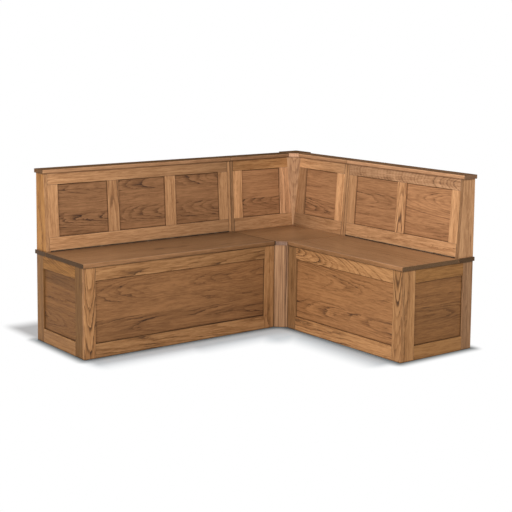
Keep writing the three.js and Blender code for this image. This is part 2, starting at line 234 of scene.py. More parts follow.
def outside(plan):
    """How far a place on the floor is outside the nearest box of a plan, in each box's own units."""
    nearest = None
    for x_span, y_span, units in plan:
        over_x, over_y = (
            (low - place).maths("MAXIMUM", place - high).maths("MAXIMUM", 0.0) / unit
            for place, (low, high), unit in zip((floor_x, floor_y), (x_span, y_span), units))
        over = (over_x * over_x + over_y * over_y) ** 0.5
        nearest = over if nearest is None else nearest.maths("MINIMUM", over)
    return nearest


openness = start.node("ShaderNodeAmbientOcclusion", {"samples": 8}, {"Distance": contact_reach}, output="AO")
from_inner = ((floor_x - inner_corner[0]) ** 2.0 + (floor_y - inner_corner[1]) ** 2.0) ** 0.5
# Painted shade on the floor beside the short chest's front.
beside_short = floor_y.step(*short_side_span_y) * floor_x.step(*short_side_span_x)
# Painted light: the paint turns lighter and bluer towards the inner corner, cancelling the brown light that
# the wood throws there.
open_tone = from_inner.step(*inner_span).between(inner_paint, seen_paint)
open_tone = open_tone.scaled(1.0 - beside_short * short_side_shade)
# Painted contact shadow: the floor darkens where the occlusion node finds the bench's foot close.
seen_tone = openness.step(*contact_span).between(painted_contact_shadow, open_tone)
# Painted shadow on the floor behind the long arm.
seen_tone = floor_y.step(*rear_span).between(seen_tone, painted_rear_shadow)
white_paint = start.node("ShaderNodeBsdfPrincipled", {}, {"Base Color": seen_tone, **matt})
# The white glow carries a painted contact shadow close round the bench's footprint.
glow_with_painted_shadow = outside(standing_plan).step(*edge_span).between(painted_edge_shadow, white)
white_glow = start.node("ShaderNodeEmission", {}, {"Color": glow_with_painted_shadow, "Strength": 1.0})
# Within the shaded plan the camera sees the lit floor in a darker paint that deepens its real shadows as
# painted shade; further out it sees the white glow.
seen_floor = start.node("ShaderNodeMixShader", {}, {
    0: outside(shaded_plan).step(*shade_span), 1: white_paint, 2: white_glow})
both_floors = start.node("ShaderNodeMixShader", {}, {
    0: start.node("ShaderNodeLightPath", output="Is Camera Ray"),
    1: Signal(start.tree, floor_shader.outputs[0]), 2: seen_floor})
both_floors.into(start.tree.nodes["Material Output"].inputs["Surface"])
floor_mesh.materials.append(floor_material)

surround_level = 0.36
world = bpy.data.worlds.new("studio")
world.use_nodes = True
bpy.context.scene.world = world
direct, mirrored, through = (
    Signal(world.node_tree).node("ShaderNodeLightPath", output=f"Is {ray} Ray")
    for ray in ("Camera", "Glossy", "Transmission"))
plain_view = (direct + mirrored + through).maths("MINIMUM", 1.0)
backdrop = world.node_tree.nodes["Background"]
backdrop.inputs["Color"].default_value = white
(plain_view * (1.0 - surround_level) + surround_level).into(backdrop.inputs["Strength"])


def soft_panel(name, place, aim, width, height, power):
    """A rectangular lamp at a place, turned so that it faces the point it is aimed at."""
    lamp = bpy.data.lights.new(name, "AREA")
    lamp.shape = "RECTANGLE"
    lamp.size = width
    lamp.size_y = height
    lamp.energy = power
    holder = bpy.data.objects.new(name, lamp)
    holder.location = place
    holder.rotation_euler = (Vector(aim) - Vector(place)).to_track_quat("-Z", "Y").to_euler()
    bpy.context.scene.collection.objects.link(holder)


soft_panel("soft_panel_left", (-8.0, -5.4, 3.6), (0.1, 0.1, 0.4), width=6.0, height=4.5, power=780.0)
soft_panel("soft_panel_front", (0.9, -9.6, 5.0), (0.3, 0.1, 0.4), width=6.0, height=4.5, power=190.0)
soft_panel("soft_panel_above", (0.2, 2.6, 6.4), (0.1, -0.3, 0.2), width=2.8, height=2.8, power=265.0)


# Oak boards. The bench is glued up from flat-sawn oak, stained brown and oiled. Each board has
# its own run of growth rings: the further its middle was from the heart of the tree, the
# straighter the lines on its face. End grain drinks more stain and turns dark.
class Grain:
    """How one board was cut from its tree.

    seed moves the board along its tree, tone darkens or lightens its stain, figure is how strongly
    its rings show, across is where the heart lies along the board's width, from the middle, and
    deep is how far behind its face the heart lies. slope is how fast the heart falls away along
    the board, which turns the rings into nested arches that point that way, and drift how fast it
    moves aside. bend is how crooked the tree grew, and ring how wide its years are. rose, where it
    is given, is how rosy the board is, and fade is how much the stain lightens over a metre along
    and across the board. calm is how much weaker the rings show after a metre along it."""

    def __init__(self, seed, tone, figure, across=0.05, deep=0.14, slope=0.0, bend=1.0, ring=0.0075,
                 drift=0.0, rose=None, fade=(0.0, 0.0), calm=0.0):
        self.shift = (3.7 * seed, -across, deep)
        self.drift = drift
        self.stain = (tone, figure)
        self.growth = (slope, bend, ring)
        self.rose = rose
        self.fade = (*fade, 0.0)
        self.calm = calm


class Solid:
    """A closed solid whose faces point outwards.

    They are turned round where it would enclose a negative volume, which is the sum of the signed
    tetrahedra between the origin and the faces' triangle fans."""

    def __init__(self, points, faces):
        volume = sum(np.cross(points[face[1:-1]], points[face[2:]]).dot(points[face[0]]).sum()
                     for face in faces)
        self.points = points
        self.faces = faces if volume > 0.0 else [face[::-1] for face in faces]


class Board(Solid):
    """A closed solid between two like outlines, with the directions of its grain.

    Side face i joins point i and i + 1 of both outlines. strips gives the grain of each side face,
    measured from that face's own middle, so that one panel can show several boards glued edge to
    edge."""

    def __init__(self, low, high, along, face, grain, strips=None):
        count = len(low)
        ring = np.arange(count)
        after = (ring + 1) % count
        sides = np.stack([ring, after, after + count, ring + count], axis=1)
        super().__init__(np.concatenate([low, high]),
                         [*map(list, sides), list(ring[::-1]), list(ring + count)])
        self.grains = list(strips or [grain] * count) + [grain, grain]
        self.local = self.points @ np.stack([along, np.cross(face, along), face]).T
        middles = [self.local[corners, 1].mean() if strips else 0.0 for corners in self.faces[:count]]
        self.middles = middles + [0.0, 0.0]


def joined(name, solids, material):
    """One object of several closed solids, in one material."""
    starts = np.cumsum([0] + [len(solid.points) for solid in solids[:-1]])
    faces = [[int(corner + first) for corner in face]
             for solid, first in zip(solids, starts) for face in solid.faces]
    mesh = bpy.data.meshes.new(name)
    mesh.from_pydata(np.concatenate([solid.points for solid in solids]).tolist(), [], faces)
    mesh.materials.append(material)
    piece = bpy.data.objects.new(name, mesh)
    bpy.context.scene.collection.objects.link(piece)
    return piece


arris_angle = math.radians(25)


def wooden_piece(name, node, boards, material, slot, body="carcass", ease=0.0007, rose=0.3):
    """One object of one or more boards, whose arrises are eased by a small bevel.

    Every face corner carries five vectors: wood, its place in the tree; mid, its place from the
    board's middle; reach, the board's half sizes; stain, its tone, figure and how rosy it is; and
    growth, the rings of its grain. A drifting heart adds drift times the place along to across."""
    piece = joined(name, boards, material)
    carried = {"wood": [], "mid": [], "reach": [], "stain": [], "growth": []}
    for board in boards:
        low, high = board.local.min(axis=0), board.local.max(axis=0)
        centre, half = (low + high) / 2, (high - low) / 2
        for corners, grain, middle in zip(board.faces, board.grains, board.middles):
            place = board.local[corners] - centre
            surface = np.array([0.0, middle - centre[1] if middle else 0.0, half[2]])
            aside = np.outer(place[:, 0] * grain.drift, (0.0, 1.0, 0.0))
            carried["wood"].append(place - surface + grain.shift + aside)
            carried["mid"].append(place)
            carried["reach"].append(np.broadcast_to(half, place.shape))
            tone, figure = grain.stain
            carried["stain"].append(np.column_stack([
                tone * (1.0 + place @ np.array(grain.fade)),
                figure - grain.calm * place[:, 0],
                np.full(len(place), rose if grain.rose is None else grain.rose)]))
            carried["growth"].append(np.broadcast_to(grain.growth, place.shape))
    for title, blocks in carried.items():
        attribute = piece.data.attributes.new(title, "FLOAT_VECTOR", "CORNER")
        attribute.data.foreach_set("vector", np.concatenate(blocks).astype(np.float32).ravel())
    if ease:
        easing = piece.modifiers.new("eased_arrises", "BEVEL")
        easing.width = ease
        easing.segments = 2
        easing.limit_method = "ANGLE"
        easing.angle_limit = arris_angle
        easing.harden_normals = True
        piece.data.shade_smooth()
    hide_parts(node)
    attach(piece, body)


# How far slow, quick and fine noise bend the rings, and how far from a board's rim its tone
# changes: unchanged at the first distance, in full at the second, all in metres.
slow_bend, quick_bend, fine_bend = 0.062, 0.0130, 0.0055
wear_span = (0.0035, 0.0003)
end_span = (0.0016, 0.0006)
groove_span = (0.0075, 0.0015)
painted_top_shade_span = (0.0090, 0.0098)
nose_highlight_span = (0.0080, 0.0030)
seam_shade_span = (0.0030, 0.0008)
groove_shade = 0.68


def oak(name, pale, stain, dark, end_tone, shine=0.5, gloss=0.12, streaks=1.0, length=1.0, rings=1.0,
        flecks=1.0, blotches=1.0, sunk=0.0, painted_top_shade=0.0, nose_highlight=0.0, seam=0.0, painted_shade_lines=()):
    """Stained oak whose pattern follows the growth rings.

    The distance from the tree's heart, bent by slow noise along the trunk, is counted in rings.
    Each ring starts with a dark porous line and fades; groups of years differ in tone; fine
    streaks and pores run lengthwise; the ends are darker. streaks, rings, flecks and blotches are
    how strongly each of them shows, and length is how far streaks and flecks are drawn out. Where a
    board's edge is sunk in a groove by the given depth, painted shade darkens its rims for the shade
    in the groove. painted_top_shade darkens the board's best face as painted shade, nose_highlight
    lightens its long edges as a painted highlight, and seam darkens the rims of a board that is seen
    on its edge with painted shade, for the shade in the seam beside it. painted_shade_lines lists
    (height, width, strength) of painted shade lines: the contact shadow along the floor and the
    shadow under an overhang."""
    material, shader, start = new_material(name)
    wood, mid, reach, stains, growth = (
        start.node("ShaderNodeAttribute", {"attribute_name": title}, output="Vector")
        for title in ("wood", "mid", "reach", "stain", "growth"))
    _, across, deep = wood.parts()
    tone, figure, rose = stains.parts()
    slope, bend, ring = growth.parts()
    from_middle, _, above_middle = mid.parts()

    def noise(along, around, detail, roughness):
        """Soft noise in the tree, with so many swings in a metre along it and around it."""
        return wood.stretched(along, around, around).cloud(detail, roughness)

    wander = noise(1.9, 7.0, 2.0, 0.45)
    ripple = noise(15.0, 42.0, 3.0, 0.6)
    feather = noise(11.0, 150.0, 3.0, 0.6)
    behind = deep + from_middle * slope
    heart = (across * across + behind * behind) ** 0.5
    radius = heart + (wander * slow_bend + ripple * quick_bend) * bend + feather * fine_bend
    count = radius / ring
    year = start.node("ShaderNodeTexWhiteNoise", {"noise_dimensions": "1D"}, {"W": count.maths("FLOOR")})
    porous = count.maths("FRACT").ramp((0.0, (0.10,) * 3), (0.07, (1.0,) * 3), (0.22, (0.70,) * 3),
                                       (0.45, (0.12,) * 3), (1.0, (0.0,) * 3))
    dashes = noise(26.0 / length, 330.0, 3.0, 0.6)
    porous = porous * (0.25 + year * 0.95) * (1.0 + dashes * 2.2)
    spans = start.node("ShaderNodeTexNoise", {"noise_dimensions": "1D"},
                       {"W": radius * 95.0, "Scale": 1.0, "Detail": 3.0, "Roughness": 0.6}) - 0.5
    patch = noise(2.4, 11.0, 2.0, 0.5).step(-0.14, 0.12)
    streak = noise(5.0 / length, 105.0, 5.0, 0.62)
    broad = noise(1.6, 34.0, 3.0, 0.55)
    blotch = noise(3.2, 9.0, 2.0, 0.5)
    fleck = noise(13.0 / length, 190.0, 3.0, 0.65)
    fine = noise(42.0, 1500.0, 1.0, 0.5)
    pores = fine.step(0.13, 0.24) * (0.25 + porous * 0.75)

    showing = figure * (0.35 + patch * 0.95) * rings
    level = (0.80 + streak * (0.95 * streaks) + broad * (0.60 * blotches) + blotch * (0.35 * blotches)
             + fleck * (1.15 * flecks)
             + spans * showing * 0.70 - porous * showing * 0.44 + dashes * 0.90 - pores * 0.25)
    colour = level.ramp((0.0, dark), (0.45, stain), (1.0, pale))

    left, side, thick = reach.vector_maths("SUBTRACT", mid.vector_maths("ABSOLUTE")).parts()
    least = left.maths("MINIMUM", side).maths("MINIMUM", thick)
    most = left.maths("MAXIMUM", side).maths("MAXIMUM", thick)
    from_arris = left + side + thick - least - most
    worn = from_arris.step(*wear_span) * (0.55 + streak * 1.2)
    end = left.step(*end_span)
    shade = tone * (1.0 + worn * 0.10)
    # Painted shade in the groove round a sunk board.
    if sunk:
        shade = shade * (1.0 - (left.maths("MINIMUM", side) - sunk).step(*groove_span) * groove_shade)
    # Painted shade on the board's top face.
    if painted_top_shade:
        shade = shade * (1.0 - above_middle.step(*painted_top_shade_span) * painted_top_shade)
    # Painted highlight along the board's long edges.
    if nose_highlight:
        shade = shade * (1.0 + side.step(*nose_highlight_span) * nose_highlight)
    # Painted shade on the rims of a board at a seam.
    if seam:
        shade = shade * (1.0 - thick.step(*seam_shade_span) * seam)
    # Painted shade lines: a contact shadow at the floor and shadow under an overhang.
    for line, width, strength in painted_shade_lines:
        from_line = (start.object_place().parts()[2] - line).maths("ABSOLUTE")
        shade = shade * (1.0 - from_line.step(width, 0.3 * width) * strength)
    end_colour = (0.75 - porous * 0.6 + streak).ramp((0.0, tuple(0.55 * part for part in end_tone)),
                                                     (1.0, end_tone))
    colour = (end * 0.92).between(colour.scaled(shade), end_colour.scaled(tone))
    tint = start.node("ShaderNodeCombineXYZ", {}, {"X": 1.0, "Y": rose * 0.08 + 1.0, "Z": rose * 0.36 + 1.0})
    colour.vector_maths("MULTIPLY", tint).into(shader.inputs["Base Color"])
    rough = (1.0 - shine) + pores * 0.18 + porous * 0.06 - worn * 0.05 + end * 0.12
    rough.into(shader.inputs["Roughness"])
    relief = start.node("ShaderNodeBump", {}, {
        "Strength": 0.35, "Distance": 0.0006,
        "Height": 0.5 - pores * 0.8 - porous * 0.25 + streak * 0.35})
    relief.into(shader.inputs["Normal"])
    shader.inputs["Specular IOR Level"].default_value = gloss
    return material


# The frame's painted shade lines: a contact shadow at the floor and shadow under the lid's nose and under the
# cap.
frame_tones = {"pale": (0.450, 0.224, 0.085), "stain": (0.272, 0.122, 0.042), "dark": (0.085, 0.040, 0.018),
               "end_tone": (0.100, 0.060, 0.034),
               "painted_shade_lines": ((0.0, 0.007, 0.55), (0.437, 0.008, 0.55), (0.840, 0.007, 0.30))}
frame_oak = oak("frame_oak", **frame_tones)
# The same oak with painted shade on its rims, for the end boards that meet at a seam.
seam_shaded_oak = oak("seam_shaded_oak", seam=0.55, **frame_tones)
panel_oak = oak("panel_oak", pale=(0.350, 0.160, 0.058), stain=(0.212, 0.091, 0.032),
                dark=(0.055, 0.027, 0.014), end_tone=(0.090, 0.050, 0.028), rings=1.1, sunk=0.0077)
# The seat's long edges are lightened as a painted highlight.
seat_oak = oak("seat_oak", pale=(0.330, 0.163, 0.070), stain=(0.207, 0.095, 0.037),
               dark=(0.085, 0.042, 0.020), end_tone=(0.070, 0.034, 0.010), rings=0.7,
               shine=0.70, gloss=0.15, nose_highlight=0.28)


class Arm:
    """One arm of the bench, measured from the outer back corner of the whole.

    A place on it is its distance along the wall from that corner, its distance out from the wall
    and its height, and becomes corner + outward direction x distance - wall direction x out. rose
    is how rosy the boards of its backrest are."""

    corner = np.array([0.8265, 0.6865, 0.0])
    up = np.array([0.0, 0.0, 1.0])

    def __init__(self, name, outward, wall, reach, panels, rose):
        self.name = name
        self.outward = np.array(outward, float)
        self.wall = np.array(wall, float)
        self.reach = reach
        self.panels = panels
        self.rose = rose

    def place(self, along, out, height):
        """Points in the room, from three numbers or arrays."""
        along, out, height = np.broadcast_arrays(along, out, height)
        return (self.corner + along[..., None] * self.outward - out[..., None] * self.wall
                + height[..., None] * self.up)

    def square_board(self, along, out, height, run, face, grain):
        """A rectangular board between three (low, high) pairs, whose grain runs along one of them.

        run and face name the directions of the grain and of the board's best face."""
        spans = {"along": along, "out": out, "height": height}
        directions = {"along": self.outward, "out": -self.wall, "height": self.up}
        width = next(name for name in spans if name not in (run, face))
        shares, first_grain, side_grains = strip_layout(grain)
        edge = spans[width][0] + shares * (spans[width][1] - spans[width][0])
        ring = {width: np.concatenate([edge, edge[::-1]]), face: np.repeat(spans[face][::-1], len(edge))}
        low, high = (self.place(**ring, **{run: stop}) for stop in spans[run])
        return Board(low, high, directions[run], directions[face], first_grain, side_grains)


def strip_layout(grain):
    """Where the boards of a panel meet, as shares of its width, its first grain and its sides'.

    grain is one board's grain, or a list of (share of the width, grain) from the low edge of a
    panel glued from boards. One board has no grains of its sides' own."""
    strips = grain if isinstance(grain, list) else [(1.0, grain)]
    edges = np.cumsum([0.0] + [share for share, _ in strips])
    grains = [strip_grain for _, strip_grain in strips]
    sides = grains + [grains[-1]] + grains[::-1] + [grains[0]]
    return edges / edges[-1], grains[0], sides if isinstance(grain, list) else None


# The two arms stand against two walls that meet behind the square corner seat. Where an arm's
# chest starts, the corner unit ends.
corner_side = 0.530
seam = 0.0002
chest_start = corner_side + seam
long_arm = Arm("long", outward=(-1, 0, 0), wall=(0, 1, 0), reach=1.650, panels=3, rose=0.9)
short_arm = Arm("short", outward=(0, -1, 0), wall=(1, 0, 0), reach=1.370, panels=2, rose=1.0)
arms = (long_arm, short_arm)


# Chest fronts. Stiles run the full height and rails are tenoned between them, in oak 20 mm thick.
# A thin glued-up panel sits in a groove, so its face lies 7 mm back from the frame's.
seat_depth = 0.476
chest_height = 0.437
member_thickness = 0.020
front_stile = 0.060
top_rail_width = 0.065
bottom_rail_width = 0.069
panel_set_back = 0.0073
panel_thickness = 0.006
panel_reach = 0.0077

front_grain = {
    "long": {
        "inner": Grain(11, 0.86, 0.9, across=0.012, deep=0.05, slope=0.10, ring=0.010),
        "outer": Grain(12, 0.99, 1.8, across=0.0, deep=0.040, slope=-0.060, bend=0.35, ring=0.0065),
        "top": Grain(13, 0.775, 1.2, across=0.04, deep=0.12, slope=0.03, bend=0.4, fade=(0.33, 0.0)),
        "bottom": Grain(14, 0.79, 1.3, across=-0.03, deep=0.09, slope=0.03, bend=0.4),
        "panel": [
            (0.36, Grain(15, 0.70, 1.6, across=0.0, deep=0.05, slope=0.035, bend=0.8, ring=0.010)),
            (0.24, Grain(16, 0.76, 0.6, across=0.09, deep=0.30, fade=(0.2, 0.0))),
            (0.40, Grain(17, 0.79, 0.8, across=0.01, deep=0.07, slope=0.07, bend=0.8, ring=0.0062)),
        ],
    },
    "short": {
        "inner": Grain(21, 0.62, 0.7, deep=0.12),
        "outer": Grain(22, 0.91, 1.7, across=0.0, deep=0.05, slope=-0.09, bend=0.25, ring=0.0070),
        "top": Grain(23, 1.10, 1.3, across=-0.03, deep=0.085, slope=0.15, bend=0.30, ring=0.0070, drift=0.14,
                     calm=1.8),
        "bottom": Grain(24, 1.04, 1.5, across=0.02, deep=0.06, slope=0.02, bend=0.4, ring=0.006),
        "panel": [
            (0.36, Grain(25, 1.04, 1.4, across=0.02, deep=0.07, slope=-0.04, bend=0.6, ring=0.008)),
            (0.28, Grain(26, 1.07, 0.6, across=0.1, deep=0.24)),
            (0.36, Grain(27, 1.05, 1.1, across=-0.03, deep=0.08, slope=0.06, bend=0.6, ring=0.006)),
        ],
    },
}


def frame_and_panel(arm, title, width, face, front, stiles, grain, rose=0.3):
    """One side of a chest: two stiles, two rails between them, and a panel in their grooves.

    width and face name the directions of its width and thickness, front is the place of its face
    and stiles holds the span of each stile under its name."""
    near, far = stiles.values()
    top = (chest_height - top_rail_width, chest_height)
    bottom = (0.0, bottom_rail_width)
    between = (near[1], far[0])

    def member(across, height, run, member_grain, back=0.0, thickness=member_thickness):
        """One board of this side, set back from its face by a distance."""
        spans = {width: across, face: (front - back - thickness, front - back), "height": height}
        return arm.square_board(**spans, run=run, face=face, grain=member_grain)

    wooden_piece(f"{arm.name}_{title}_boards", f"{arm.name}_{title}_frame", [
        *[member(span, (0.0, chest_height), "height", grain[side]) for side, span in stiles.items()],
        member(between, top, width, grain["top"]),
        member(between, bottom, width, grain["bottom"]),
    ], frame_oak, "frame_oak", rose=rose)
    wooden_piece(f"{arm.name}_{title}_field", f"{arm.name}_{title}_panel", [
        member((between[0] - panel_reach, between[1] + panel_reach),
               (bottom[1] - panel_reach, top[0] + panel_reach),
               width, grain["panel"], panel_set_back, panel_thickness),
    ], panel_oak, "panel_oak", ease=0.0, rose=rose)


for arm in arms:
    stiles = {"inner": (chest_start, chest_start + front_stile),
              "outer": (arm.reach - front_stile, arm.reach)}
    frame_and_panel(arm, "front", "along", "out", seat_depth, stiles, front_grain[arm.name])


# Chest ends. The same frame and panel, standing behind the front frame's edge and 66 mm wide in
# its stiles, closes each free end of the bench.
end_stile = 0.066
end_rose = -0.2
end_grain = {
    "long": {
        "rear": Grain(31, 0.56, 0.6),
        "front": Grain(32, 0.43, 0.6, rose=-0.6),
        "top": Grain(33, 0.74, 1.2, deep=0.07, slope=-0.16, bend=0.4, ring=0.006, rose=-1.0),
        "bottom": Grain(34, 0.77, 0.6, rose=0.1),
        "panel": [
            (0.45, Grain(35, 0.63, 1.1, across=0.01, deep=0.06, slope=0.07, bend=0.8, ring=0.007, rose=-0.5)),
            (0.33, Grain(36, 0.70, 0.5, across=0.1, deep=0.25, rose=-0.5)),
            (0.22, Grain(37, 0.52, 0.5, across=0.1, deep=0.25, rose=-0.5)),
        ],
    },
    "short": {
        "rear": Grain(41, 0.72, 0.7, across=0.06, rose=1.2),
        "front": Grain(42, 0.95, 0.8, across=0.06, deep=0.12, rose=0.2),
        "top": Grain(43, 0.68, 0.5, across=0.1, deep=0.24, rose=-0.6),
        "bottom": Grain(44, 0.76, 0.6, deep=0.16),
        "panel": [
            (0.30, Grain(45, 0.70, 0.4, across=0.06, deep=0.20)),
            (0.28, Grain(46, 0.67, 0.9, across=0.0, deep=0.06, slope=-0.05, bend=0.6, ring=0.008)),
            (0.42, Grain(47, 0.76, 0.5, across=0.03, deep=0.10, ring=0.010)),
        ],
    },
}

for arm in arms:
    depth = seat_depth - member_thickness
    stiles = {"rear": (0.0, end_stile), "front": (depth - end_stile, depth)}
    frame_and_panel(arm, "end", "out", "along", arm.reach, stiles, end_grain[arm.name], rose=end_rose)


# Hidden boards. The inner sides, the carcass backs and the chest floors are cut from pale sealed
# plywood, whose edges show its layers. They carry the lid's weight and are seen when it is open.
# The corner's two sides show only as a line on each side of the post, so they are painted
# dark, as painted shade in the gaps there.
beside_the_post = ("corner_long_side", "corner_short_side")


def plywood(name, face_tone, glue_tone):
    """Sealed plywood: soft lengthwise grain on Object coordinates, and thin darker layers of glue.

    The glue tone shows where noise, drawn out along Z, runs low."""
    material, shader, start = new_material(name)
    place = start.object_place()
    broad = place.stretched(3.0, 3.0, 1.2).cloud(3.0, 0.5)
    lines = place.stretched(34.0, 34.0, 2.4).cloud(4.0, 0.6)
    fibres = place.stretched(420.0, 420.0, 9.0).cloud(2.0, 0.5)
    level = 0.5 + broad * 0.5 + lines * 0.9 + fibres * 0.35
    light_tone = tuple(1.18 * part for part in face_tone)
    level.ramp((0.0, glue_tone), (0.55, face_tone), (1.0, light_tone)).into(shader.inputs["Base Color"])
    (0.62 + lines * 0.25).into(shader.inputs["Roughness"])
    relief = start.node("ShaderNodeBump", {}, {"Strength": 0.2, "Distance": 0.0004, "Height": lines + fibres})
    relief.into(shader.inputs["Normal"])
    return material


inner_ply = plywood("inner_ply", face_tone=(0.50, 0.32, 0.165), glue_tone=(0.30, 0.175, 0.085))
# Near-black plywood: painted shade for the gaps beside the post.
shadow_dark_ply = plywood("shadow_dark_ply", face_tone=(0.075, 0.038, 0.018), glue_tone=(0.040, 0.021, 0.012))
for node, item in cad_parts.items():
    if node.endswith(("_side", "carcass_back", "_floor")):
        item.data.materials.clear()
        item.data.materials.append(shadow_dark_ply if node in beside_the_post else inner_ply)


# Seat boards. A fixed strip under each backrest carries the hinge, and the lid in front of it
# lifts. The lid's two front edges are rounded over, and both boards stand out 8 mm at the end.
def nosed_outline(rear, front, bottom, top, radius, steps=6):
    """Distances out and heights of a section that is square at the rear and rounded at the front.

    Each rounded corner is a quarter circle of the radius, in equal angles."""
    turn = np.linspace(0.0, math.pi / 2, steps + 1)
    sine, cosine = radius * np.sin(turn), radius * np.cos(turn)
    upper = np.stack([front - radius + sine, top - radius + cosine], axis=1)
    lower = np.stack([front - radius + cosine, bottom + radius - sine], axis=1)
    section = np.concatenate([[[rear, bottom], [rear, top]], upper, lower])
    return section[:, 0], section[:, 1]


def carried_board(arm, section, along, grain, far_end=None):
    """A section of distances out and heights, carried along the arm with the grain.

    far_end is the grain of the end face at the arm's free end, where it differs."""
    low, high = (arm.place(stop, *section) for stop in along)
    board = Board(low, high, arm.outward, arm.up, grain)
    board.grains[-1] = far_end or grain
    return board


seat_height = 0.457
strip_front = 0.105
strip_rear = -0.004
lid_rear = 0.1080
lid_front = 0.483
lid_underside = 0.4373
seat_overhang = 0.008
lid_gap = 0.0015
lid_start = corner_side + lid_gap
seat_radius = 0.005

seat_grain = {
    "long": {"strip": Grain(51, 0.88, 0.6, across=0.1, deep=0.30),
             "lid": Grain(52, 0.65, 0.8, deep=0.16, bend=0.7, ring=0.010, fade=(0.44, 0.0)),
             "lid end": Grain(52.5, 0.78, 0.8, deep=0.16, rose=-1.3)},
    "short": {"strip": Grain(53, 0.92, 0.6, across=0.1, deep=0.30),
              "lid": Grain(54, 0.79, 0.8, across=-0.06, bend=0.7, ring=0.010, fade=(0.39, 0.0)),
              "lid end": Grain(54.5, 1.42, 0.8, across=-0.06, rose=1.2)},
}

for arm in arms:
    grain = seat_grain[arm.name]
    far_end = arm.reach + seat_overhang
    wooden_piece(f"{arm.name}_strip_board", f"{arm.name}_deck_strip", [
        arm.square_board((chest_start, far_end), (strip_rear, strip_front), (chest_height, seat_height),
                         "along", "height", grain["strip"]),
    ], seat_oak, "seat_oak", ease=0.0012)
    section = nosed_outline(lid_rear, lid_front, lid_underside, seat_height, seat_radius)
    wooden_piece(f"{arm.name}_lid_board", f"{arm.name}_lid", [
        carried_board(arm, section, (lid_start, far_end), grain["lid"], grain["lid end"]),
    ], seat_oak, "seat_oak", body=f"{arm.name}_lid", ease=0.0009, rose=0.1)


# Backrests. Rails run the whole way between two wedge shaped end boards, uprights stand between
# the rails, and thin panels fill the openings. The frame leans back by 26 mm over its height.
wedge_foot = 0.102
wedge_top = 0.076
wedge_thickness = 0.019
backrest_height = 0.383
back_stile = 0.056
muntin_width = 0.062
back_bottom_rail = 0.068
back_top_rail = 0.055
small_gap = 0.0003
seam_ease = 0.0014
cap_underside = seat_height + backrest_height
lean = math.atan2(wedge_foot - wedge_top, backrest_height)
slope_height = (backrest_height - 2 * small_gap) / math.cos(lean)


def on_slope(arm, along, rise, depth):
    """A place on a leaning frame: rise up its front face from the foot, depth behind that face."""
    out = wedge_foot - rise * math.sin(lean) - depth * math.cos(lean)
    height = seat_height + small_gap + rise * math.cos(lean) - depth * math.sin(lean)
    return arm.place(along, out, height)


def leaning_board(arm, along, rise, depth, run, grain):
    """A board in a leaning frame between three (low, high) pairs.

    run is along or rise. along may hold a function of rise and depth, for a slanted cut."""
    shares, first_grain, side_grains = strip_layout(grain)
    depths = np.repeat(depth, len(shares))
    there_and_back = np.concatenate([shares, shares[::-1]])

    def cut(stop, rises):
        """Where a board stops at each height: at its number, or at its function's value."""
        return stop(rises, depths) if callable(stop) else stop

    if run == "along":
        rises = rise[0] + there_and_back * (rise[1] - rise[0])
        low, high = (on_slope(arm, cut(stop, rises), rises, depths) for stop in along)
        direction = arm.outward
    else:
        low, high = (
            on_slope(arm, near + there_and_back * (far - near), level, depths)
            for level in rise for near, far in [[cut(stop, level) for stop in along]])
        direction = arm.up * math.cos(lean) + arm.wall * math.sin(lean)
    face = -arm.wall * math.cos(lean) + arm.up * math.sin(lean)
    return Board(low, high, direction, face, first_grain, side_grains)


def leaning_panel(arm, along, opening, strips):
    """A glued-up panel whose edges stand in the grooves round an opening of a leaning frame."""
    spans = [(low - panel_reach, high + panel_reach) for low, high in (along, opening)]
    return leaning_board(arm, *spans, (panel_set_back, panel_set_back + panel_thickness), "along", strips)


def wedge_board(arm, along, foot_out, foot_height, grain, edge):
    """An end board of a backrest: upright at the rear, sloping back at the front.

    Its front edge is cut across the rings, so it has a grain of its own."""
    out = np.array([0.0, 0.0, wedge_top, foot_out])
    height = np.array([foot_height, cap_underside, cap_underside, foot_height])
    ends = [arm.place(stop, out, height) for stop in along]
    return Board(ends[0], ends[1], arm.up, arm.outward, grain, [grain, grain, edge, grain])


def long_field(seed, tone):
    """Four strips for a panel of the long back: plain, flamed, plain, and flamed at the top."""
    return [
        (0.14, Grain(seed, tone, 0.6, deep=0.16)),
        (0.32, Grain(seed + 0.3, 0.96 * tone, 1.5, across=-0.01, deep=0.06, slope=0.10, bend=0.8,
                     ring=0.008)),
        (0.30, Grain(seed + 0.5, tone, 0.6, across=0.08, deep=0.20)),
        (0.24, Grain(seed + 0.7, 0.97 * tone, 1.0, across=0.0, deep=0.05, slope=0.13, bend=0.7, ring=0.009)),
    ]


def corner_field(seed, tone):
    """Three strips for a corner panel: flamed low down, and plain above."""
    return [
        (0.12, Grain(seed, tone, 0.6, deep=0.16)),
        (0.28, Grain(seed + 0.3, tone, 2.3, across=-0.01, deep=0.06, slope=0.06, bend=0.7, ring=0.007)),
        (0.60, Grain(seed + 0.5, 1.04 * tone, 0.45, across=0.1, deep=0.24)),
    ]


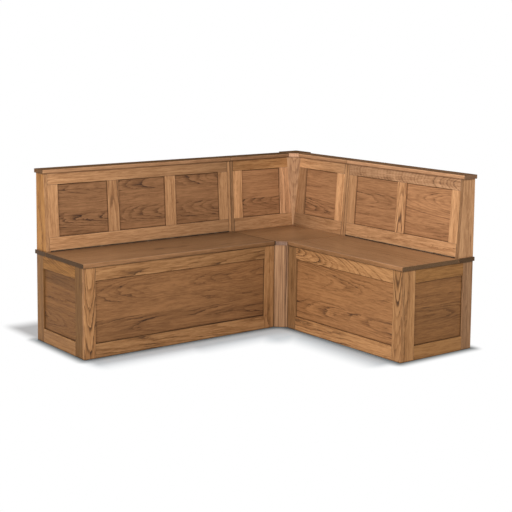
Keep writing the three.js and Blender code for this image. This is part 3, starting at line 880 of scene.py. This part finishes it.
back_grain = {
    "long": {
        "outer": Grain(61, 1.04, 0.9, across=0.04, deep=0.12, rose=-0.6),
        "outer edge": Grain(61.5, 1.17, 0.7, across=0.04, deep=0.12),
        "inner": Grain(62, 0.95, 0.9, across=0.04, deep=0.12),
        "inner edge": Grain(62.5, 1.08, 0.7, across=0.04, deep=0.12),
        "bottom": Grain(63, 1.13, 0.5, across=0.08, deep=0.24, fade=(0.42, 0.0)),
        "top": Grain(64, 1.02, 0.9, across=0.03, deep=0.08, slope=0.02, bend=0.6, ring=0.010,
                     fade=(0.48, 0.0)),
        "stiles": [Grain(65, 1.10, 0.8, deep=0.10), Grain(66, 1.32, 0.6)],
        "muntins": [Grain(67, 1.15, 1.7, across=0.004, deep=0.05, slope=0.03, bend=0.3),
                    Grain(68, 1.18, 0.7, deep=0.12)],
        "panels": [long_field(71, 0.92), long_field(73, 0.94), long_field(75, 0.92)],
    },
    "short": {
        "outer": Grain(81, 1.14, 0.6, across=0.06, deep=0.16),
        "outer edge": Grain(81.5, 0.71, 0.6, across=0.06, deep=0.16),
        "inner": Grain(82, 1.0, 0.8, across=0.04, deep=0.12),
        "inner edge": Grain(82.5, 1.06, 0.7, across=0.04, deep=0.12),
        "bottom": Grain(83, 1.31, 0.9, deep=0.12, slope=0.02, fade=(0.15, 0.0)),
        "top": Grain(84, 1.18, 0.8, across=0.002, deep=0.13, slope=-0.20, bend=0.10, ring=0.0045,
                     rose=1.6, fade=(0.28, 0.0)),
        "stiles": [Grain(85, 1.19, 0.7), Grain(86, 1.48, 0.7)],
        "muntins": [Grain(87, 1.48, 1.7, across=-0.004, deep=0.05, slope=0.07, bend=0.3)],
        "panels": [
            [(0.40, Grain(91, 1.24, 0.6, across=0.06, deep=0.16)),
             (0.28, Grain(92, 1.24, 1.6, across=0.0, deep=0.05, slope=0.09, bend=0.6, ring=0.0080)),
             (0.32, Grain(93, 1.28, 0.5, across=0.08, deep=0.20))],
            [(0.38, Grain(94, 1.34, 0.9, across=0.06, deep=0.10)),
             (0.62, Grain(95, 1.44, 0.8, across=0.01, deep=0.045, slope=-0.13, bend=0.4, ring=0.0085))],
        ],
    },
}

for arm in arms:
    grain = back_grain[arm.name]
    inner = (chest_start, chest_start + wedge_thickness)
    outer = (arm.reach - wedge_thickness, arm.reach)
    at_seam = {"material": seam_shaded_oak, "ease": seam_ease}
    for side, along, look in (("inner", inner, at_seam), ("outer", outer, {"material": frame_oak})):
        wooden_piece(f"{arm.name}_{side}_end_board", f"{arm.name}_wedge_{side}", [
            wedge_board(arm, along, wedge_foot, seat_height, grain[side], grain[side + " edge"]),
        ], slot="frame_oak", rose=arm.rose, **look)

    run = (inner[1] + small_gap, outer[0] - small_gap)
    depth = (0.0, member_thickness)
    opening = (back_bottom_rail, slope_height - back_top_rail)
    rails = {"foot": ("bottom", (0.0, opening[0])), "head": ("top", (opening[1], slope_height))}
    for place, (side, rise) in rails.items():
        wooden_piece(f"{arm.name}_backrest_{place}_rail", f"{arm.name}_back_{side}_rail", [
            leaning_board(arm, run, rise, depth, "along", grain[side]),
        ], frame_oak, "frame_oak", rose=arm.rose)

    between = (opening[0] + small_gap, opening[1] - small_gap)
    near_corner = (run[0], run[0] + back_stile)
    far_end = (run[1] - back_stile, run[1])
    left_is_far = arm is long_arm
    sides = ("right", "left") if left_is_far else ("left", "right")
    for side, along, stile_grain in zip(sides, (near_corner, far_end), grain["stiles"]):
        wooden_piece(f"{arm.name}_backrest_{side}_upright", f"{arm.name}_back_stile_{side}", [
            leaning_board(arm, along, between, depth, "rise", stile_grain),
        ], frame_oak, "frame_oak", rose=arm.rose)
    clear = run[1] - run[0] - 2 * back_stile - (arm.panels - 1) * muntin_width
    panel_width = clear / arm.panels
    for index in range(arm.panels):
        start_here = run[0] + back_stile + index * (panel_width + muntin_width)
        stop_here = start_here + panel_width
        number = arm.panels - index if left_is_far else index + 1
        wooden_piece(f"{arm.name}_backrest_field_{number}", f"{arm.name}_back_panel_{number}", [
            leaning_panel(arm, (start_here, stop_here), opening, grain["panels"][number - 1]),
        ], panel_oak, "panel_oak", ease=0.0, rose=arm.rose)
        if index < arm.panels - 1:
            muntin = arm.panels - 1 - index if left_is_far else index + 1
            wooden_piece(f"{arm.name}_backrest_muntin_{muntin}", f"{arm.name}_back_muntin_{muntin}", [
                leaning_board(arm, (stop_here, stop_here + muntin_width), between, depth, "rise",
                              grain["muntins"][muntin - 1]),
            ], frame_oak, "frame_oak", rose=arm.rose)


# Caps. A board 20 mm thick lies on each backrest, with its two front edges rounded, and stands
# out over the face, the wall side and the free end. The corner unit has two short lengths of it.
cap_front = 0.084
cap_rear = -0.005
cap_top = 0.860
cap_radius = 0.004
block_arm = 0.124

# The cap's top face is darkened as painted shade, and a painted shadow line runs along its lower edge.
cap_oak = oak("cap_oak", pale=(0.400, 0.200, 0.082), stain=(0.250, 0.115, 0.044),
              dark=(0.098, 0.047, 0.025), end_tone=(0.135, 0.069, 0.030), rings=0.7, gloss=0.0, painted_top_shade=0.72,
              painted_shade_lines=((0.840, 0.006, 0.40),))
cap_grain = {
    "long": (Grain(101, 1.07, 0.8, deep=0.12, fade=(0.25, 0.0)),
             Grain(102, 0.86, 0.8, deep=0.12)),
    "short": (Grain(103, 1.50, 0.8, deep=0.12, rose=1.2),
              Grain(104, 1.27, 0.8, deep=0.12)),
}

for arm in arms:
    section = nosed_outline(cap_rear, cap_front, cap_underside, cap_top, cap_radius)
    bench_grain, corner_grain = cap_grain[arm.name]
    wooden_piece(f"{arm.name}_cap_board", f"{arm.name}_cap", [
        carried_board(arm, section, (chest_start, arm.reach + seat_overhang), bench_grain),
    ], cap_oak, "cap_oak", ease=0.0009, rose=arm.rose)
    wooden_piece(f"corner_{arm.name}_cap_board", f"corner_{arm.name}_cap", [
        carried_board(arm, section, (block_arm + small_gap, corner_side - seam), corner_grain),
    ], cap_oak, "cap_oak", ease=0.0005, rose=arm.rose)


# Corner backs. On each side a wedge stands at the seam and a glued frame with one panel leans
# like the others. Their feet are let 4 mm into the seat, and the frames are bevelled where they
# meet the diagonal filler, so the inner stile narrows upwards.
housing_depth = 0.004
filler_reach = 0.2073
corner_window = (0.186, 0.4505)
corner_frame_end = corner_side - seam - wedge_thickness - small_gap

corner_grain = {
    "long": {
        "wedge": Grain(111, 0.90, 0.8, across=0.04, deep=0.10),
        "edge": Grain(111.5, 0.70, 0.8, across=0.04, deep=0.10),
        "outer": Grain(112, 1.45, 0.6),
        "inner": Grain(113, 1.66, 0.8, deep=0.12, rose=1.5),
        "top": Grain(114, 0.98, 0.8, rose=0.2, fade=(-0.9, 0.0)),
        "bottom": Grain(115, 1.12, 0.8, across=0.04, deep=0.12, fade=(-0.8, 0.0)),
        "panel": corner_field(116, 1.12),
    },
    "short": {
        "wedge": Grain(121, 1.10, 0.8, across=0.04, deep=0.10),
        "edge": Grain(121.5, 1.20, 0.8, across=0.04, deep=0.10),
        "outer": Grain(122, 1.66, 0.7),
        "inner": Grain(123, 0.95, 0.9, deep=0.12),
        "top": Grain(124, 1.36, 0.7, fade=(-1.0, 0.0)),
        "bottom": Grain(125, 1.00, 0.8, across=0.04, deep=0.12, fade=(1.3, 0.0)),
        "panel": corner_field(126, 1.20),
    },
}


def filler_cut(rise, depth):
    """How far from the corner a leaning board meets the filler: the reach less the board's out."""
    return filler_reach - wedge_foot + rise * math.sin(lean) + depth * math.cos(lean)


for arm in arms:
    grain = corner_grain[arm.name]
    foot_out = wedge_foot + housing_depth * math.tan(lean)
    wedge_run = (corner_side - seam - wedge_thickness, corner_side - seam)
    wooden_piece(f"corner_{arm.name}_end_board", f"corner_{arm.name}_wedge", [
        wedge_board(arm, wedge_run, foot_out, seat_height - housing_depth, grain["wedge"], grain["edge"]),
    ], seam_shaded_oak, "frame_oak", ease=seam_ease, rose=arm.rose)
    foot = -housing_depth / math.cos(lean)
    run = (filler_cut, corner_frame_end)
    depth = (0.0, member_thickness)
    opening = (back_bottom_rail, slope_height - back_top_rail)
    wooden_piece(f"corner_{arm.name}_back_boards", f"corner_{arm.name}_back_frame", [
        leaning_board(arm, run, (foot, opening[0]), depth, "along", grain["bottom"]),
        leaning_board(arm, run, (opening[1], slope_height), depth, "along", grain["top"]),
        leaning_board(arm, (corner_window[1], corner_frame_end), opening, depth, "rise", grain["outer"]),
        leaning_board(arm, (filler_cut, corner_window[0]), opening, depth, "rise", grain["inner"]),
    ], frame_oak, "frame_oak", rose=arm.rose)
    wooden_piece(f"corner_{arm.name}_back_field", f"corner_{arm.name}_back_panel", [
        leaning_panel(arm, corner_window, opening, grain["panel"]),
    ], panel_oak, "panel_oak", ease=0.0, rose=arm.rose)


# Corner seat, front post, back filler and cap block. The seat is a square board with its inner
# corner clipped over the chamfered post. The filler closes the corner between the two leaning
# backs, and a thicker block with a clipped face joins the two caps over it.
def upright_board(plan, heights, grain, along=(1, 0, 0), face=(0, 0, 1), clip=None):
    """A board drawn in plan, distances along X and Y from the outer back corner, carried upwards.

    clip is (side, grain): the side face between point side and the next has a grain of its own."""
    plan = np.asarray(plan, float)
    low, high = (Arm.corner + np.column_stack([plan, np.full(len(plan), stop)]) for stop in heights)
    board = Board(low, high, along, face, grain)
    if clip:
        board.grains[clip[0]] = clip[1]
    return board


post_tones = {"pale": (0.485, 0.262, 0.122), "stain": (0.300, 0.148, 0.066), "dark": (0.095, 0.046, 0.024),
              "end_tone": (0.120, 0.076, 0.046)}
# A painted contact shadow darkens the post's foot.
post_oak = oak("post_oak", streaks=2.0, length=4.0, flecks=2.4, blotches=0.3, painted_shade_lines=((0.0, 0.006, 0.40),),
               **post_tones)
filler_oak = oak("filler_oak", blotches=0.6, **post_tones)
into_the_room = (-math.sqrt(0.5), -math.sqrt(0.5), 0)

post_outer = -0.524
post_inner = -0.464
wooden_piece("corner_post_board", "corner_front_post", [
    upright_board([(post_inner, post_inner), (post_outer, post_inner), (post_outer, -seat_depth),
                   (-seat_depth, post_outer), (post_inner, post_outer)], (0.0, chest_height),
                  Grain(131, 0.80, 2.4, across=0.10, deep=0.12, bend=0.10, ring=0.0064, fade=(0.4, 0.0)),
                  along=(0, 0, 1), face=into_the_room),
], post_oak, "post_oak")

filler_width = 0.140
filler_thickness = 0.022
filler_face = 0.1035
face_middle = np.array([-filler_face, -filler_face])
half_face = np.array([1.0, -1.0]) * math.sqrt(0.5) * filler_width / 2
behind_face = np.array([1.0, 1.0]) * math.sqrt(0.5) * filler_thickness
wooden_piece("corner_filler_board", "corner_back_filler", [
    upright_board([face_middle + half_face, face_middle - half_face,
                   face_middle - half_face + behind_face, face_middle + half_face + behind_face],
                  (seat_height - housing_depth, cap_underside),
                  Grain(132, 1.05, 0.8, across=0.0, deep=0.070, slope=-0.12, bend=0.35, ring=0.0080,
                        fade=(-0.2, 0.0)), along=(0, 0, 1), face=into_the_room),
], filler_oak, "post_oak")

seat_edge = -(corner_side - lid_gap)
clip_end = -(corner_side + lid_front) - seat_edge
housing_line = -(wedge_foot + housing_depth * math.tan(lean) + small_gap)
housing_reach = filler_reach + 0.0001
housing_cross = -housing_reach - housing_line
# Its fade lightens the seat towards the two walls, painted light against the shade that the backs cast on it.
seat_across = Grain(133, 0.72, 0.8, across=0.08, deep=0.20, bend=0.7, ring=0.013, rose=0.05,
                    fade=(0.6, 0.6))
# The clipped front face is tinted greyer, a painted reflection.
clip_grain = Grain(133.5, 0.74, 0.6, across=0.08, deep=0.20, rose=2.7)
wooden_piece("corner_seat_board", "corner_seat", [
    upright_board([(seat_edge, housing_line), (housing_cross, housing_line), (housing_line, housing_cross),
                   (housing_line, seat_edge), (clip_end, seat_edge), (seat_edge, clip_end)],
                  (chest_height, seat_height), seat_across, clip=(4, clip_grain)),
    upright_board([(-strip_rear, -strip_rear), (seat_edge, -strip_rear), (seat_edge, housing_line),
                   (housing_cross, housing_line), (housing_line, housing_cross), (housing_line, seat_edge),
                   (-strip_rear, seat_edge)],
                  (chest_height, seat_height - housing_depth), seat_across),
], seat_oak, "seat_oak")

block_top = 0.865
# The block's clipped face is painted much lighter and greyer, a painted highlight.
wooden_piece("corner_cap_board", "corner_cap_block", [
    upright_board([(-cap_rear, -cap_rear), (-block_arm, -cap_rear), (-block_arm, -cap_front),
                   (-cap_front, -block_arm), (-cap_rear, -block_arm)], (cap_underside, block_top),
                  Grain(134, 1.0, 0.7, across=0.02, deep=0.16, rose=0.9),
                  clip=(2, Grain(134.5, 1.84, 0.5, across=0.02, deep=0.16, rose=2.0))),
], cap_oak, "cap_oak", ease=0.0012)


# Continuous hinges. Each is two strips of darkened steel with their knuckles rolled in turn round
# one pin. One leaf is screwed to the fixed strip, the other to the rear edge of the lid.
hinge_inset = 0.022
knuckle_pitch = 0.040
knuckle_gap = 0.0004
knuckle_radius = 0.0028
pin_radius = 0.0012
leaf_thickness = 0.0012
leaf_gap = 0.0006
leaf_width = 0.016
screw_pitch = 0.120
screw_radius = 0.0028
screw_slot = 0.0008
screw_proud = 0.00022
screw_root = 0.0002
knuckle_chamfer = 0.0003
pin_chamfer = 0.0002
crease_angle = math.radians(30)
barrel_out = strip_front + leaf_thickness + leaf_gap / 2
barrel_height = seat_height + knuckle_radius
leaf_top = barrel_height - knuckle_radius - small_gap


def rod(arm, along, radius, chamfer, sides=20):
    """A rod on the hinge line: rings of a circle, drawn in at both ends by a small chamfer."""
    turn = np.arange(sides) * math.tau / sides
    stops = np.array([along[0], along[0] + chamfer, along[1] - chamfer, along[1]])[:, None]
    radii = np.array([radius - chamfer, radius, radius, radius - chamfer])[:, None]
    points = arm.place(stops, barrel_out + radii * np.cos(turn), barrel_height + radii * np.sin(turn))
    index = np.arange(4 * sides).reshape(4, sides)
    after = np.roll(index, -1, axis=1)
    sides_round = np.stack([index[:-1], index[1:], after[1:], after[:-1]], axis=-1).reshape(-1, 4)
    return Solid(points.reshape(-1, 3), [*map(list, sides_round), list(index[0]), list(index[-1, ::-1])])


def half_head(arm, middle, height, out, side, steps=10):
    """Half of a screw head: a half circle beside the slot, as thick as the head stands proud."""
    turn = np.linspace(0.0, math.pi, steps)
    along = middle + (screw_radius * np.sin(turn) + screw_slot / 2) * side
    high = height + screw_radius * np.cos(turn)
    root, top = (arm.place(along, level, high) for level in out)
    return Board(root, top, -arm.wall, arm.up, None)


# Brown-black oiled steel, brushed along its length, with lighter rubbed patches.
hinge_steel, shader, start = new_material("hinge_steel")
place = start.object_place()
rubbed = place.stretched(38.0, 38.0, 38.0).cloud(4.0, 0.6)
brushed = place.stretched(900.0, 900.0, 900.0).cloud(2.0, 0.5)
colour = (0.5 + rubbed * 1.3 + brushed * 0.25).ramp(
    (0.30, (0.050, 0.036, 0.026)), (0.62, (0.120, 0.085, 0.058)), (0.85, (0.28, 0.21, 0.145)))
colour.into(shader.inputs["Base Color"])
(0.42 + rubbed * 0.3 + brushed * 0.15).into(shader.inputs["Roughness"])
shader.inputs["Metallic"].default_value = 0.9

for arm in arms:
    run = (chest_start + hinge_inset, arm.reach - hinge_inset)
    count = 2 * round((run[1] - run[0]) / knuckle_pitch / 2) + 1
    pitch = (run[1] - run[0]) / count
    leaf_height = (leaf_top - leaf_width, leaf_top)
    tab_height = (leaf_top - small_gap, barrel_height - knuckle_radius / 2)
    screws = round((run[1] - run[0]) / screw_pitch)
    places = run[0] + (np.arange(screws) + 0.5) * (run[1] - run[0]) / screws
    leaves = {
        "fixed": ((strip_front, strip_front + leaf_thickness), 1, 0, "carcass"),
        "moving": ((lid_rear - leaf_thickness, lid_rear), -1, 1, f"{arm.name}_lid"),
    }
    for leaf, (out, outward, first_knuckle, body) in leaves.items():
        seen_face = out[1] if outward > 0 else out[0]
        head = (seen_face - outward * screw_root, seen_face + outward * screw_proud)
        solids = [arm.square_board(run, out, leaf_height, "along", "out", None)]
        for index in range(first_knuckle, count, 2):
            along = (run[0] + index * pitch + knuckle_gap / 2, run[0] + (index + 1) * pitch - knuckle_gap / 2)
            solids.append(rod(arm, along, knuckle_radius, knuckle_chamfer))
            solids.append(arm.square_board(along, out, tab_height, "along", "out", None))
        solids += [half_head(arm, middle, leaf_top - leaf_width / 2, head, side)
                   for middle in places for side in (-1, 1)]
        if leaf == "fixed":
            solids.append(rod(arm, (run[0] + knuckle_gap, run[1] - knuckle_gap), pin_radius, pin_chamfer))
        piece = joined(f"{arm.name}_hinge_{leaf}_strip", solids, hinge_steel)
        piece.data.shade_smooth()
        piece.data.set_sharp_from_angle(angle=crease_angle)
        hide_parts(f"{arm.name}_hinge_{leaf}_leaf")
        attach(piece, body)
